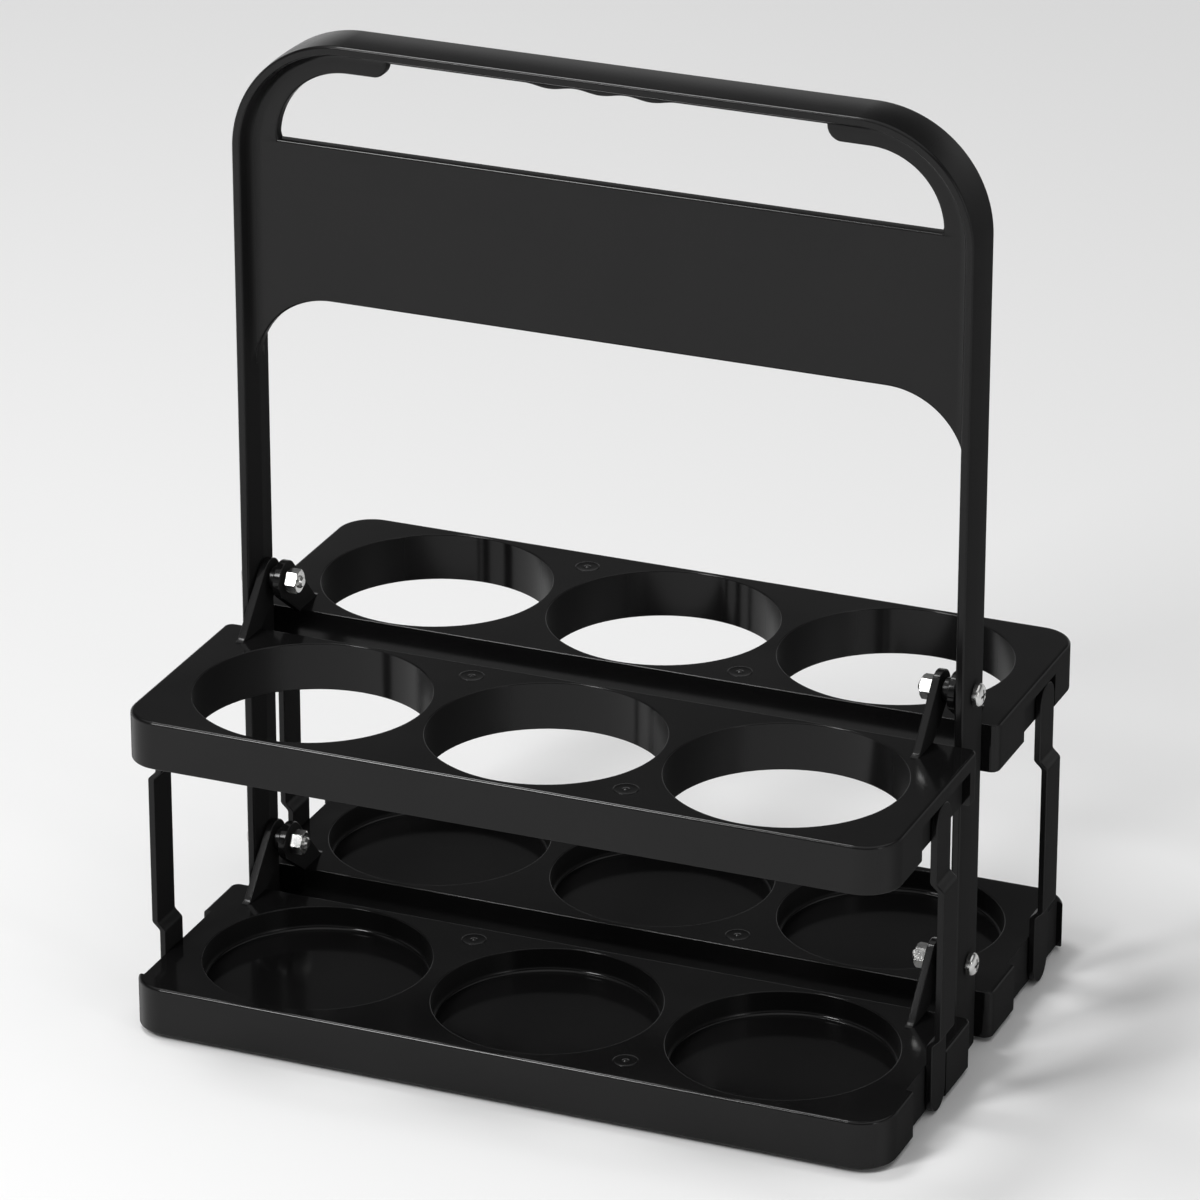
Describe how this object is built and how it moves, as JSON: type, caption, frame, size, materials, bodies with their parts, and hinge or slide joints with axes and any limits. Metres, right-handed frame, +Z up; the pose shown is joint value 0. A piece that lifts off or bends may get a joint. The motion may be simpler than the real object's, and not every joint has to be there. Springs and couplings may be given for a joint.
{
  "type": "foldable drink holder",
  "caption": "Carrying frame with a hand grip and tiered trays: bottles drop through the upper holes, stand in the lower cups, and the strut-linked trays fold up flat.",
  "frame": {"origin": "on the ground, midway between the two posts and between the front and back trays", "axes": "+Z up; +X along the grip, to the right seen from the front; +Y towards the back trays"},
  "size_m": [0.2592, 0.1758, 0.308],
  "materials": {
    "frame_plastic": "glossy black moulded plastic",
    "tray_plastic": "glossy black moulded plastic, near mirror on the flat tops",
    "strut_plastic": "black moulded plastic, slightly softer gloss",
    "zinc_plated_steel": "bright plated steel"
  },
  "bodies": {
    "carrying_frame": {"handle_frame": "frame_plastic", "upper_left_screw": "zinc_plated_steel", "upper_left_nut": "zinc_plated_steel", "upper_left_spacer": "frame_plastic", "upper_right_screw": "zinc_plated_steel", "upper_right_nut": "zinc_plated_steel", "upper_right_spacer": "frame_plastic", "lower_left_screw": "zinc_plated_steel", "lower_left_nut": "zinc_plated_steel", "lower_left_spacer": "frame_plastic", "lower_right_screw": "zinc_plated_steel", "lower_right_nut": "zinc_plated_steel", "lower_right_spacer": "frame_plastic"},
    "upper_front": {"upper_front_tray": "tray_plastic"},
    "upper_back": {"upper_back_tray": "tray_plastic"},
    "lower_front": {"lower_front_tray": "tray_plastic"},
    "lower_back": {"lower_back_tray": "tray_plastic"},
    "strut_front_left": {"front_left_strut": "strut_plastic"},
    "strut_front_right": {"front_right_strut": "strut_plastic"},
    "strut_back_left": {"back_left_strut": "strut_plastic"},
    "strut_back_right": {"back_right_strut": "strut_plastic"}
  },
  "joints": [
    {"name": "front_fold", "type": "hinge", "parent": "carrying_frame", "child": "upper_front", "pos_m": [0, 0, 0.12345], "axis": [-1, 0, 0], "range_deg": [0, 90]},
    {"name": "front_lower_fold", "type": "hinge", "parent": "carrying_frame", "child": "lower_front", "pos_m": [0, 0, 0.03145], "axis": [-1, 0, 0], "range_deg": [0, 90]},
    {"name": "front_left_strut_swing", "type": "hinge", "parent": "upper_front", "child": "strut_front_left", "pos_m": [-0.1259, -0.057, 0.09825], "axis": [1, 0, 0], "range_deg": [0, 90]},
    {"name": "front_right_strut_swing", "type": "hinge", "parent": "upper_front", "child": "strut_front_right", "pos_m": [0.1259, -0.039, 0.09825], "axis": [1, 0, 0], "range_deg": [0, 90]},
    {"name": "back_fold", "type": "hinge", "parent": "carrying_frame", "child": "upper_back", "pos_m": [0, 0, 0.12345], "axis": [1, 0, 0], "range_deg": [0, 90]},
    {"name": "back_lower_fold", "type": "hinge", "parent": "carrying_frame", "child": "lower_back", "pos_m": [0, 0, 0.03145], "axis": [1, 0, 0], "range_deg": [0, 90]},
    {"name": "back_left_strut_swing", "type": "hinge", "parent": "upper_back", "child": "strut_back_left", "pos_m": [-0.1259, 0.039, 0.09825], "axis": [-1, 0, 0], "range_deg": [0, 90]},
    {"name": "back_right_strut_swing", "type": "hinge", "parent": "upper_back", "child": "strut_back_right", "pos_m": [0.1259, 0.057, 0.09825], "axis": [-1, 0, 0], "range_deg": [0, 90]}
  ],
  "couplings": [
    {"joint": "front_lower_fold", "follows": "front_fold", "ratio": 1},
    {"joint": "front_left_strut_swing", "follows": "front_fold", "ratio": 1},
    {"joint": "front_right_strut_swing", "follows": "front_fold", "ratio": 1},
    {"joint": "back_lower_fold", "follows": "back_fold", "ratio": 1},
    {"joint": "back_left_strut_swing", "follows": "back_fold", "ratio": 1},
    {"joint": "back_right_strut_swing", "follows": "back_fold", "ratio": 1}
  ]
}
